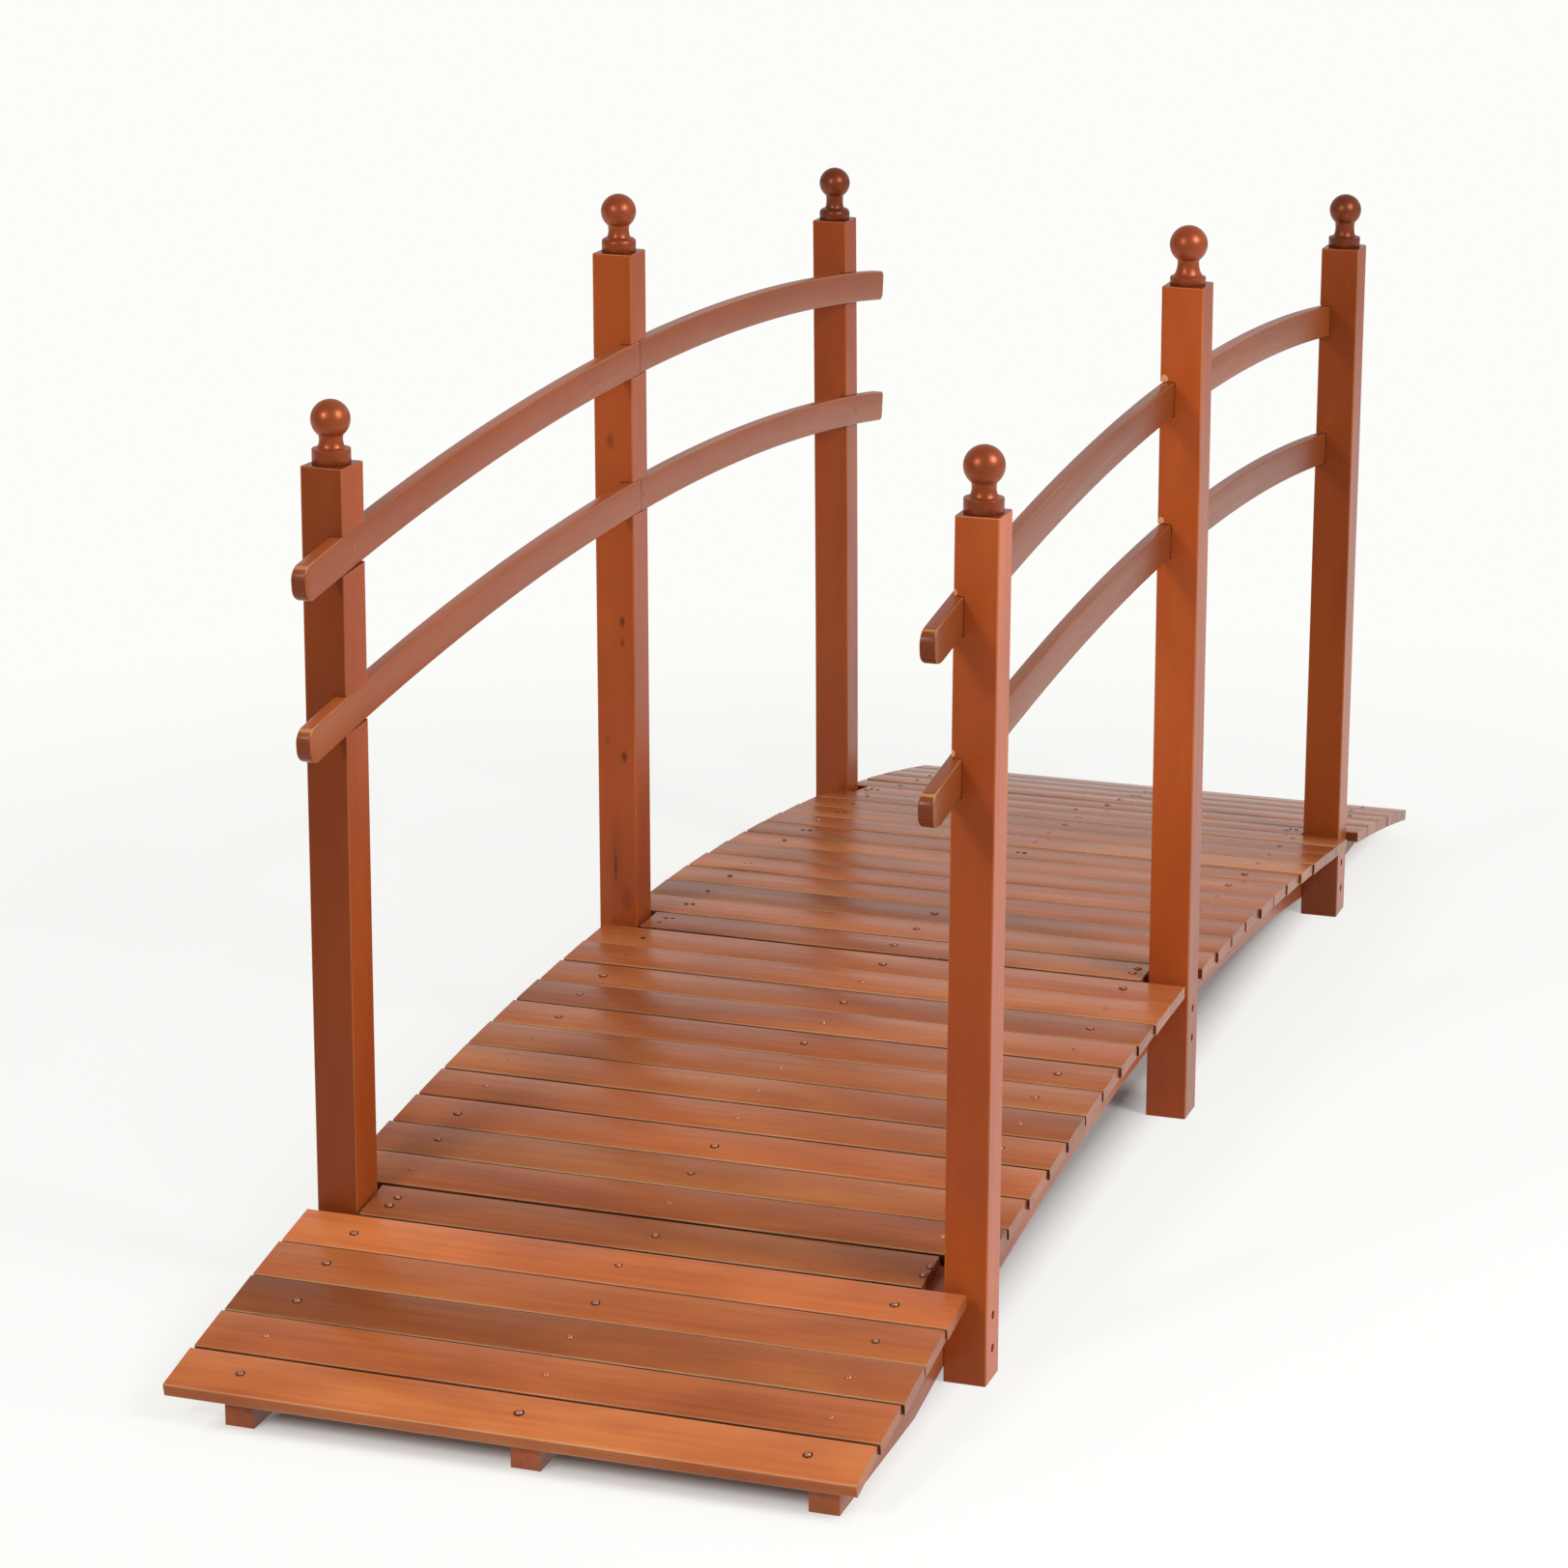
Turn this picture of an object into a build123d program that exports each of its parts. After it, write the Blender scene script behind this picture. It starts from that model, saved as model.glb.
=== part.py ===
"""Arched wooden garden bridge, about 8 ft long, with six turned-top posts and double curved rails.

Frame: X across the bridge (+X right), Y along it (near end at -Y), Z up, ground at Z = 0.
The origin lies on the ground under the crown of the arch. All sizes are in millimetres.
"""

from build123d import *
from math import asin, cos, degrees, radians, sin, sqrt
import os

os.makedirs("parts", exist_ok=True)

# The arch: deck, stringers and rails are arcs about one centre line below the ground.
DECK_RADIUS = 5700.0     # radius of the walking surface
DECK_END_HEIGHT = 42.1   # of the walking surface over the ground, at both ends of the deck
SEAT = 0.2               # clearance where one piece rests on or in another

# Deck boards, counted from the near end; the short ones pass between a pair of posts.
BOARD_COUNT = 35
BOARD_PITCH = 70.2       # along the arc
BOARD_WIDTH = 68.0
BOARD_THICKNESS = 14.5
BOARD_EASING = 1.5       # on the two long top edges
BOARD_LENGTH = 742.0
BOARD_CREEP = 1.3        # each full board is nailed this much further right than the one before
SHORT_BOARD_CREEP = 0.5  # and each short one this much for each board between them
SHORT_BOARD_GAP = 8.0    # from a short board's end to the post's inner face
NEAR_SHORT_BOARD = 6     # the near posts stand beside this board

# Posts. Each one's head stands this far above the top of the upper rail.
POST_WIDTH = 46.0
POST_EASING = 2.0
POST_INNER_FACE = 329.0  # from the middle of the bridge to the inner face of a post
END_POST_HEAD = 75.0
MIDDLE_POST_HEAD = 108.0

# Stringers.
STRINGER_WIDTH = 32.0
STRINGER_DEPTH = 76.0
STRINGER_SETBACK = 16.0  # from the end of the deck to the end of a stringer

# Rails, housed in the inner faces of the posts.
RAIL_THICKNESS = 15.5
RAIL_HEIGHT = 40.0
RAIL_HOUSING = 12.6      # depth of the housing in the post
UPPER_RAIL_RISE = 708.0  # from the walking surface to the middle of the rail
LOWER_RAIL_RISE = 538.0
RAIL_OVERHANG = 118.0    # from the middle of an end post to the tip of a rail
RAIL_END_FLAT = 6.0      # straight part of a rail's rounded tip
RAIL_EASING = 2.0
RAIL_JOINT = 0.6         # open joint between the two halves at the middle post

# Screw holes.
SCREW_HOLE = 5.0
PLUG_HOLE = 9.0          # wide outer part of the holes through a post
PLUG_DEPTH = 8.0
UPPER_BOLT_DROP = 25.0   # below the top of the stringer
LOWER_BOLT_DROP = 62.0
RAIL_SCREW_HEAD = 8.0
RAIL_SCREW_OFFSET = 12.0  # from the middle joint to the screw of each half

# Turned finials.
COLLAR_RADIUS = 20.5
COLLAR_HEIGHT = 14.0
SHOULDER_RADIUS = 15.5
SHOULDER_HEIGHT = 18.0
WAIST_RADIUS = 12.3
WAIST_HEIGHT = 25.0
NECK_FLARE = 1.0         # the neck widens this much from its waist to the ball
BALL_RADIUS = 21.2
FINIAL_HEIGHT = 69.0

# Derived places.
MIDDLE_BOARD = (BOARD_COUNT + 1) // 2
BOARD_STEP = degrees(BOARD_PITCH / DECK_RADIUS)
POST_Y = DECK_RADIUS * sin(radians((MIDDLE_BOARD - NEAR_SHORT_BOARD) * BOARD_STEP))
POST_X = POST_INNER_FACE + POST_WIDTH / 2
STRINGER_RADIUS = DECK_RADIUS - BOARD_THICKNESS - SEAT
DECK_END = DECK_RADIUS * sin(radians(BOARD_COUNT * BOARD_STEP / 2))
ARCH_CENTRE = DECK_END_HEIGHT - sqrt(DECK_RADIUS ** 2 - DECK_END ** 2)
STRINGER_END = DECK_END - STRINGER_SETBACK
STRINGER_X = POST_INNER_FACE - SEAT - STRINGER_WIDTH / 2
RAIL_END = POST_Y + RAIL_OVERHANG
SHORT_BOARDS = {
    "near": NEAR_SHORT_BOARD,
    "middle": MIDDLE_BOARD,
    "far": BOARD_COUNT + 1 - NEAR_SHORT_BOARD,
}
SHORT_BOARD_LENGTH = 2 * (POST_INNER_FACE - SHORT_BOARD_GAP)
STATIONS = {
    "near": (-POST_Y, END_POST_HEAD),
    "middle": (0.0, MIDDLE_POST_HEAD),
    "far": (POST_Y, END_POST_HEAD),
}
SIDES = {"left": -1, "right": 1}
RAILS = {
    "upper": DECK_RADIUS + UPPER_RAIL_RISE,
    "lower": DECK_RADIUS + LOWER_RAIL_RISE,
}


def arc_height(radius, y):
    """Height above the ground of a concentric arc at the distance y from the middle."""
    return ARCH_CENTRE + sqrt(radius * radius - y * y)


def post_top(y, head):
    """Height of a post from the ground to its top."""
    return arc_height(RAILS["upper"] + RAIL_HEIGHT / 2, y) + head


def save(piece, name):
    piece.part.label = name
    export_step(piece.part, f"parts/{name}.step")


def curved_strip(plane, inner_radius, outer_radius, start, end, tip_rounding=0):
    """Strip between two arcs of the arch, from one angle to another, both from the vertical."""
    with BuildSketch(plane) as strip:
        with BuildLine():
            inner = CenterArc((0, ARCH_CENTRE), inner_radius, 90 - start, start - end)
            outer = CenterArc((0, ARCH_CENTRE), outer_radius, 90 - start, start - end)
            Line(inner @ 0, outer @ 0)
            Line(inner @ 1, outer @ 1)
        make_face()
        if tip_rounding:
            tip = (inner @ 1 + outer @ 1) / 2
            fillet(strip.vertices().sort_by_distance(tip)[:2], tip_rounding)
    return strip.sketch


def board_section(number, creep):
    """Plane square to X through the middle of a board's thickness, its x axis along the arc."""
    tilt = radians((number - MIDDLE_BOARD) * BOARD_STEP)
    radius = DECK_RADIUS - BOARD_THICKNESS / 2
    return Plane(
        origin=(
            (number - MIDDLE_BOARD) * creep,
            radius * sin(tilt),
            ARCH_CENTRE + radius * cos(tilt),
        ),
        x_dir=(0, cos(tilt), -sin(tilt)),
        z_dir=(1, 0, 0),
    )


def deck_boards(name, numbers, length, creep=BOARD_CREEP):
    """Flat boards lying across the arch, one solid each."""
    with BuildPart() as boards:
        for number in numbers:
            with BuildSketch(board_section(number, creep)) as section:
                Rectangle(BOARD_WIDTH, BOARD_THICKNESS)
                chamfer(section.vertices().group_by(Axis.Y)[-1], BOARD_EASING)
        extrude(amount=length / 2, both=True)
    save(boards, name)


def stringer(name, x):
    """Arched beam, flat on the ground at both ends, under the deck boards."""
    under_radius = STRINGER_RADIUS - STRINGER_DEPTH
    end_top = arc_height(STRINGER_RADIUS, STRINGER_END)
    foot = sqrt(under_radius * under_radius - ARCH_CENTRE * ARCH_CENTRE)
    with BuildPart() as beam:
        with BuildSketch(Plane.YZ.offset(x)):
            with BuildLine():
                ThreePointArc(
                    (-STRINGER_END, end_top),
                    (0, arc_height(STRINGER_RADIUS, 0)),
                    (STRINGER_END, end_top),
                )
                Polyline((STRINGER_END, end_top), (STRINGER_END, 0), (foot, 0))
                ThreePointArc((foot, 0), (0, arc_height(under_radius, 0)), (-foot, 0))
                Polyline((-foot, 0), (-STRINGER_END, 0), (-STRINGER_END, end_top))
            make_face()
        extrude(amount=STRINGER_WIDTH / 2, both=True)
    save(beam, name)


def post(name, side, y, height):
    """Square post with housings for both rails in its inner face and screw holes at its foot."""
    inner_face = side * POST_INNER_FACE
    outer_face = side * (POST_INNER_FACE + POST_WIDTH)
    with BuildPart() as shaft:
        with BuildSketch(Plane((side * POST_X, y, 0))) as section:
            Rectangle(POST_WIDTH, POST_WIDTH)
            chamfer(section.vertices(), POST_EASING)
        extrude(amount=height)
        chamfer(shaft.faces().sort_by(Axis.Z)[-1].edges(), POST_EASING / 2)
        half_housing = RAIL_HEIGHT / 2 + SEAT
        for radius in RAILS.values():
            start = degrees(asin((y - POST_WIDTH) / radius))
            end = degrees(asin((y + POST_WIDTH) / radius))
            housing = curved_strip(
                Plane.YZ.offset(inner_face), radius - half_housing, radius + half_housing, start, end
            )
            extrude(housing, amount=side * RAIL_HOUSING, mode=Mode.SUBTRACT)
        stringer_top = arc_height(STRINGER_RADIUS, y)
        for drop in (UPPER_BOLT_DROP, LOWER_BOLT_DROP):
            with Locations(Plane((outer_face, y, stringer_top - drop), z_dir=(side, 0, 0))):
                CounterBoreHole(SCREW_HOLE / 2, PLUG_HOLE / 2, PLUG_DEPTH)
    save(shaft, name)


def finial(name, side, y, height):
    """Turned ball on a waisted neck and a shouldered collar, standing on a post."""
    ball_centre = FINIAL_HEIGHT - BALL_RADIUS
    neck_top_radius = WAIST_RADIUS + NECK_FLARE
    neck_top = (neck_top_radius, ball_centre - sqrt(BALL_RADIUS ** 2 - neck_top_radius ** 2))
    axis_plane = Plane((side * POST_X, y, height), x_dir=(1, 0, 0), z_dir=(0, -1, 0))
    with BuildPart() as turning:
        with BuildSketch(axis_plane):
            with BuildLine():
                Polyline(
                    (0, FINIAL_HEIGHT),
                    (0, 0),
                    (COLLAR_RADIUS, 0),
                    (COLLAR_RADIUS, COLLAR_HEIGHT),
                    (SHOULDER_RADIUS, SHOULDER_HEIGHT),
                )
                ThreePointArc((SHOULDER_RADIUS, SHOULDER_HEIGHT), (WAIST_RADIUS, WAIST_HEIGHT), neck_top)
                ThreePointArc(neck_top, (BALL_RADIUS, ball_centre), (0, FINIAL_HEIGHT))
            make_face()
        revolve(axis=Axis((side * POST_X, y, height), (0, 0, 1)))
    save(turning, name)


def rail(name, side, half, radius):
    """Half of a curved rail, from the joint on the middle post to its rounded end."""
    joint = degrees(RAIL_JOINT / 2 / radius)
    tip = degrees(asin(RAIL_END / radius))
    back_face = side * (POST_INNER_FACE + RAIL_HOUSING - SEAT)
    front_face = back_face - side * RAIL_THICKNESS
    outline = curved_strip(
        Plane.YZ.offset(front_face),
        radius - RAIL_HEIGHT / 2,
        radius + RAIL_HEIGHT / 2,
        half * joint,
        half * tip,
        (RAIL_HEIGHT - RAIL_END_FLAT) / 2,
    )
    with BuildPart() as strip:
        extrude(outline, amount=side * RAIL_THICKNESS)
        outline_edges = strip.edges().filter_by(Plane.YZ)
        chamfer(outline_edges.filter_by(lambda edge: abs(edge.center().Y) > RAIL_JOINT), RAIL_EASING)
        for y in (half * RAIL_SCREW_OFFSET, half * POST_Y):
            place = Plane((front_face, y, arc_height(radius, y)), z_dir=(-side, 0, 0))
            with Locations(place):
                CounterSinkHole(SCREW_HOLE / 2, RAIL_SCREW_HEAD / 2)
    save(strip, name)


for side_name, side in SIDES.items():
    stringer(f"stringer_{side_name}", side * STRINGER_X)
    for station, (y, head) in STATIONS.items():
        top = post_top(y, head)
        post(f"post_{station}_{side_name}", side, y, top)
        finial(f"finial_{station}_{side_name}", side, y, top)
    for level, radius in RAILS.items():
        rail(f"rail_{level}_{side_name}_near", side, -1, radius)
        rail(f"rail_{level}_{side_name}_far", side, 1, radius)
stringer("stringer_middle", 0)

near_short, middle_short, far_short = SHORT_BOARDS.values()
deck_boards("deck_boards_near_ramp", range(1, near_short), BOARD_LENGTH)
deck_boards("deck_boards_near_bay", range(near_short + 1, middle_short), BOARD_LENGTH)
deck_boards("deck_boards_far_bay", range(middle_short + 1, far_short), BOARD_LENGTH)
deck_boards("deck_boards_far_ramp", range(far_short + 1, BOARD_COUNT + 1), BOARD_LENGTH)
for station, number in SHORT_BOARDS.items():
    deck_boards(f"short_board_{station}", [number], SHORT_BOARD_LENGTH, SHORT_BOARD_CREEP)
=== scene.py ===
# %% [markdown]
# # A garden bridge in stained wood
# The real object is a small arched footbridge. Planks lie across three curved stringers, six square
# posts with turned balls stand beside them, and two curved rails run along each side.
# The solid model already has every main part in the right place, so this lesson dresses it: planks with
# eased edges, nails, rails with rounded tips, posts with housings, and turned balls, all in one stained
# and varnished wood. Each step first says what the real thing is, and then makes it.

# %% Load the solid model and keep its box
import math
import random

import bmesh
import bpy
from mathutils import Matrix, Vector


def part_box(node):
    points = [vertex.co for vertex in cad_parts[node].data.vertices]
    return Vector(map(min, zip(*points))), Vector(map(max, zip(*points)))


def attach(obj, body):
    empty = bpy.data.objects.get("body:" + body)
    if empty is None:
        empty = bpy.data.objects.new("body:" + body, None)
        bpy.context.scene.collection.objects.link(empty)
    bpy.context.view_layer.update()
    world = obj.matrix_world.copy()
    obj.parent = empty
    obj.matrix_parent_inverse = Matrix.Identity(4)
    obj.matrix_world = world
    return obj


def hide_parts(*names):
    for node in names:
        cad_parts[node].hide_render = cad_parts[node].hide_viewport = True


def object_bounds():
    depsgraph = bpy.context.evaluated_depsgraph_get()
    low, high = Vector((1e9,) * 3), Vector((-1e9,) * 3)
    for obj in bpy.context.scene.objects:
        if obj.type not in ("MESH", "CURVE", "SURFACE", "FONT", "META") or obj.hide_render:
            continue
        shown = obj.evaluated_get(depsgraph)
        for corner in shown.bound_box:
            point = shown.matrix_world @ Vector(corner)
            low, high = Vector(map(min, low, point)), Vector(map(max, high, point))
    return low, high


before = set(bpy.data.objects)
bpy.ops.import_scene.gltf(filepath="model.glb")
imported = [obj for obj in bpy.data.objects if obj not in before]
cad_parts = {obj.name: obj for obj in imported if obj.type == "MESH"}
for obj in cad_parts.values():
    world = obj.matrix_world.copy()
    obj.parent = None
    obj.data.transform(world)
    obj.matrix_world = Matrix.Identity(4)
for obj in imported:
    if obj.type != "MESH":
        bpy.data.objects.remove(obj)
solid_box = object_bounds()
print("solid model spans", [tuple(round(v, 4) for v in corner) for corner in solid_box])

# %% [markdown]
# ## The arch
# Deck, stringers and rails are arcs about one line below the ground, so a few numbers place everything.
# They are read from the solid model where it says them, so that the two can't drift apart.

# %% Arch and plank spacing
MM = 0.001
DECK_RADIUS = 5700 * MM
PLANK_PITCH = 70.2 * MM
PLANK_COUNT = 35
MIDDLE_PLANK = 18
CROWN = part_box("short_board_middle")[1].z
ARCH_CENTRE = CROWN - DECK_RADIUS
PLANK_STEP = PLANK_PITCH / DECK_RADIUS
SIDES = {"left": -1, "right": 1}
print("crown at", round(CROWN, 4), "and the arc's centre at", round(ARCH_CENTRE, 3))

# %% [markdown]
# ## Building node trees in plain steps
# Both the shapes and the woods are node trees. Small helpers keep them readable: one places a node and
# sets or wires its sockets, and others write a sum, a vector or a slide between two values. Two more go
# between a place and its turn about the arch, and the rest make shapes and bake them into plain meshes.

# %% Helpers for node trees
def put(tree, kind, sockets=None, **settings):
    """Places a node, applies its settings, then sets or wires each named or numbered input."""
    made = tree.nodes.new(kind)
    for key, value in settings.items():
        setattr(made, key, value)
    for key, value in (sockets or {}).items():
        if isinstance(value, bpy.types.NodeSocket):
            tree.links.new(value, made.inputs[key])
        else:
            made.inputs[key].default_value = value
    return made


def blank_tree(owner):
    """Empties the nodes of a material or a world and gives its tree."""
    owner.use_nodes = True
    owner.node_tree.nodes.clear()
    return owner.node_tree


def calc(tree, operation, *terms):
    """One Math node: its terms are numbers or sockets, and it gives back its result."""
    return put(tree, "ShaderNodeMath", dict(enumerate(terms)), operation=operation).outputs[0]


def vector(tree, *parts):
    """A Combine XYZ node of up to three numbers or sockets."""
    return put(tree, "ShaderNodeCombineXYZ", dict(enumerate(parts))).outputs[0]


def slide(tree, value, low, high, at_low=0.0, at_high=1.0, **settings):
    """A Map Range node: it gives at_low where the value is low, at_high where it is high."""
    return put(tree, "ShaderNodeMapRange", {
        "Value": value, "From Min": low, "From Max": high, "To Min": at_low, "To Max": at_high},
        **settings).outputs[0]


def colour_ramp(tree, value, *stops):
    """A Color Ramp node through these stops, each a position and a colour."""
    ramp = put(tree, "ShaderNodeValToRGB", {0: value})
    elements = ramp.color_ramp.elements
    while len(elements) < len(stops):
        elements.new(0.5)
    for element, (position, colour) in zip(elements, stops):
        element.position, element.color = position, (*colour, 1)
    return ramp.outputs[0]


def on_arc(tree, x, turn, reach):
    """The place that is turned this far from upright and this far from the arch's centre line."""
    along = calc(tree, "MULTIPLY", calc(tree, "SINE", turn), reach)
    up = calc(tree, "MULTIPLY", calc(tree, "COSINE", turn), reach)
    return vector(tree, x, along, calc(tree, "ADD", up, ARCH_CENTRE))


def from_arc(tree, place):
    """The way back: a place's x, its turn from upright and its distance from the centre line."""
    parts = put(tree, "ShaderNodeSeparateXYZ", {0: place})
    along, drop = parts.outputs["Y"], calc(tree, "SUBTRACT", parts.outputs["Z"], ARCH_CENTRE)
    squares = calc(tree, "MULTIPLY_ADD", drop, drop, calc(tree, "MULTIPLY", along, along))
    return parts.outputs["X"], calc(tree, "ARCTAN2", along, drop), calc(tree, "SQRT", squares)


def new_shape_tree(name, inputs):
    """A Geometry Nodes tree with named inputs. Gives the tree and a dictionary of their sockets."""
    tree = bpy.data.node_groups.new(name, "GeometryNodeTree")
    tree.interface.new_socket("Geometry", in_out="OUTPUT", socket_type="NodeSocketGeometry")
    for label, kind in inputs:
        tree.interface.new_socket(label, in_out="INPUT", socket_type="NodeSocket" + kind)
    entry = tree.nodes.new("NodeGroupInput")
    return tree, {label: entry.outputs[label] for label, kind in inputs}


def sweep(tree, curve, width, height, easing, steps):
    """Draws a rectangle with rounded corners along a curve, and closes both ends."""
    upright = put(tree, "GeometryNodeSetCurveNormal", {"Curve": curve}, mode="Z_UP")
    section = put(tree, "GeometryNodeCurvePrimitiveQuadrilateral", {"Width": width, "Height": height})
    eased = put(tree, "GeometryNodeFilletCurve", {
        "Curve": section.outputs[0], "Count": steps, "Radius": easing}, mode="POLY")
    return put(tree, "GeometryNodeCurveToMesh", {
        "Curve": upright.outputs[0], "Profile Curve": eased.outputs[0], "Fill Caps": True}).outputs[0]


def carry(tree, geometry, name, value, domain):
    """Stores a number on the geometry under this name, for the wood to read."""
    return put(tree, "GeometryNodeStoreNamedAttribute", {
        "Geometry": geometry, "Name": name, "Value": value}, data_type="FLOAT", domain=domain).outputs[0]


def close_shape_tree(tree, geometry, material=None):
    """Ends a tree in Realize Instances and Set Material, so that it gives one plain mesh."""
    made = put(tree, "GeometryNodeRealizeInstances", {0: geometry}).outputs[0]
    if material is not None:
        made = put(tree, "GeometryNodeSetMaterial", {"Geometry": made, "Material": material}).outputs[0]
    put(tree, "NodeGroupOutput", {0: made})


def add_object(name, data):
    made = bpy.data.objects.new(name, data)
    bpy.context.scene.collection.objects.link(made)
    return made


def bake_shape(name, tree, values, points=None):
    """Runs a tree with these input values and gives an object with the plain mesh it made."""
    carrier = add_object(name + "_carrier", points or bpy.data.meshes.new(name + "_carrier"))
    modifier = carrier.modifiers.new("shape", "NODES")
    modifier.node_group = tree
    for item in tree.interface.items_tree:
        if item.in_out == "INPUT" and item.name in values:
            modifier[item.identifier] = values[item.name]
    evaluated = carrier.evaluated_get(bpy.context.evaluated_depsgraph_get())
    mesh = bpy.data.meshes.new_from_object(evaluated)
    carrier.modifiers.clear()
    bpy.data.objects.remove(carrier)
    return add_object(name, mesh)


def keep_piece(piece, slot, *nodes):
    """Hangs a finished piece on the bridge's root and hides the solid nodes that it stands for."""
    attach(piece, "root")
    if nodes:
        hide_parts(*nodes)
    print(piece.name, len(piece.data.polygons), "faces")


# %% [markdown]
# ## Camera
# The photograph was taken from the right of the near end, a little above the finials. The place and the
# focal length were found by fitting a camera to the posts, the nails and the plank ends.

# %% Camera
camera_data = bpy.data.cameras.new("camera")
camera_data.sensor_width = 36
camera_data.lens = 103.600
camera = add_object("camera", camera_data)
camera.location = (1.58295, -5.01062, 1.90570)
camera.rotation_euler = (1.28790, 0, 0.331700)
bpy.context.scene.camera = camera
bpy.context.scene.view_settings.view_transform = "Standard"
print("camera looks down", round(90 - math.degrees(camera.rotation_euler.x), 1), "degrees")

# %% [markdown]
# ## Floor and light
# The bridge stands in a bright, seamless studio. The floor is a pale sheet that the camera sees almost
# as pure white, but that still keeps a faint shadow, and right under the deck its own colour is made
# darker, a painted shadow. The room is white behind the bridge and dim in front of it, which is what
# gives the sides of the posts their pale sheen while their fronts stay deep.

# %% Floor
FLOOR_WHITE = (0.978, 0.978, 0.955, 1)
FLOOR_REACH = 40
DECK_SHADOW = {"X": 0.335, "Y": 1.215}
# each slide is (from, to, value there, value here): the first two dim the floor that the varnish mirrors,
# near the camera and far behind, the third is how white the camera sees it, and the last ends the shadow
# under the deck, which is partly cast and partly painted
MIRRORED_NEAR = (-2.4, -0.7, 0.30, 1.0)
MIRRORED_FAR = (3.0, 6.0, 1.0, 0.4)
SEEN_WHITE = (1.2, 2.4, 0.76, 1.0)
SHADOW_EDGE = (-0.05, 0.015)


def make_floor():
    floor_mesh = bpy.data.meshes.new("floor")
    corners = [(x * FLOOR_REACH, y * FLOOR_REACH, 0) for x, y in ((-1, -1), (1, -1), (1, 1), (-1, 1))]
    floor_mesh.from_pydata(corners, [], [(0, 1, 2, 3)])
    floor = add_object("floor", floor_mesh)
    paper = bpy.data.materials.new("pale_floor")
    tree = blank_tree(paper)
    rays = put(tree, "ShaderNodeLightPath")
    place = put(tree, "ShaderNodeTexCoord").outputs["Object"]
    where = put(tree, "ShaderNodeSeparateXYZ", {0: place})
    near_part = slide(tree, where.outputs["Y"], *MIRRORED_NEAR, interpolation_type="SMOOTHSTEP")
    far_part = slide(tree, where.outputs["Y"], *MIRRORED_FAR, interpolation_type="SMOOTHSTEP")
    lit_part = calc(tree, "MULTIPLY", near_part, far_part)
    white = put(tree, "ShaderNodeEmission", {"Color": FLOOR_WHITE, "Strength": 1.0})
    sheen = put(tree, "ShaderNodeEmission", {"Color": FLOOR_WHITE, "Strength": lit_part})
    away = put(tree, "ShaderNodeVectorMath", {0: place}, operation="LENGTH").outputs["Value"]
    whiteness = slide(tree, away, *SEEN_WHITE, interpolation_type="SMOOTHSTEP")
    # under the deck the camera sees little of the white, so the cast shadow shows, and the floor's own colour
    # there is also made darker: a painted shadow
    beyond = 0.0
    for axis, edge in DECK_SHADOW.items():
        from_edge = calc(tree, "SUBTRACT", calc(tree, "ABSOLUTE", where.outputs[axis]), edge)
        beyond = calc(tree, "MAXIMUM", beyond, slide(tree, from_edge, *SHADOW_EDGE))
    whiteness = calc(tree, "MULTIPLY", whiteness, calc(tree, "MULTIPLY_ADD", beyond, 0.95, 0.05))
    share = calc(tree, "MULTIPLY", rays.outputs["Is Camera Ray"], whiteness)
    pale = calc(tree, "MULTIPLY_ADD", rays.outputs["Is Camera Ray"], calc(
        tree, "MULTIPLY_ADD", beyond, 0.44, -0.30), 0.8)
    shaded = put(tree, "ShaderNodeBsdfDiffuse", {"Color": vector(tree, pale, pale, pale)})
    seen = put(tree, "ShaderNodeMixShader", {0: share, 1: shaded.outputs[0], 2: white.outputs[0]})
    mirrored = put(tree, "ShaderNodeMixShader", {
        0: rays.outputs["Is Glossy Ray"], 1: seen.outputs[0], 2: sheen.outputs[0]})
    put(tree, "ShaderNodeOutputMaterial", {"Surface": mirrored.outputs[0]})
    floor_mesh.materials.append(paper)


make_floor()

# %% Room and lamps
# how bright the varnish mirrors the room: behind the bridge, down at the horizon and overhead
ROOM_BEHIND = (-0.3, 0.5, 0.25, 1.0)
ROOM_HORIZON = (0.03, 0.24, 0.4, 1.0)
ROOM_OVERHEAD = (0.15, 0.75, 1.0, 0.35)


def make_room():
    room = bpy.data.worlds.new("studio")
    bpy.context.scene.world = room
    tree = blank_tree(room)
    rays = put(tree, "ShaderNodeLightPath")
    axes = put(tree, "ShaderNodeSeparateXYZ", {0: put(tree, "ShaderNodeTexCoord").outputs["Generated"]})
    sheen_level = calc(tree, "MULTIPLY", slide(tree, axes.outputs["Y"], *ROOM_BEHIND),
                       slide(tree, axes.outputs["Z"], *ROOM_OVERHEAD))
    sheen_level = calc(tree, "MULTIPLY", sheen_level, slide(tree, axes.outputs["Z"], *ROOM_HORIZON))
    fill = put(tree, "ShaderNodeBackground", {"Color": (1, 1, 1, 1), "Strength": 0.55})
    sheen = put(tree, "ShaderNodeBackground", {"Color": (1, 1, 1, 1), "Strength": sheen_level})
    white = put(tree, "ShaderNodeBackground", {"Color": FLOOR_WHITE, "Strength": 1.0})
    glossy = put(tree, "ShaderNodeMixShader", {
        0: rays.outputs["Is Glossy Ray"], 1: fill.outputs[0], 2: sheen.outputs[0]})
    seen = calc(tree, "MAXIMUM", rays.outputs["Is Camera Ray"], rays.outputs["Is Transmission Ray"])
    mixed = put(tree, "ShaderNodeMixShader", {0: seen, 1: glossy.outputs[0], 2: white.outputs[0]})
    put(tree, "ShaderNodeOutputWorld", {"Surface": mixed.outputs[0]})


def hang_lamp(name, place, aim, size, power):
    """A soft square lamp that points at aim."""
    data = bpy.data.lights.new(name, "AREA")
    data.shape = "RECTANGLE"
    data.size, data.size_y = size
    data.energy = power
    lamp = add_object(name, data)
    lamp.location = place
    lamp.rotation_euler = (Vector(aim) - Vector(place)).to_track_quat("-Z", "Y").to_euler()


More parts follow.
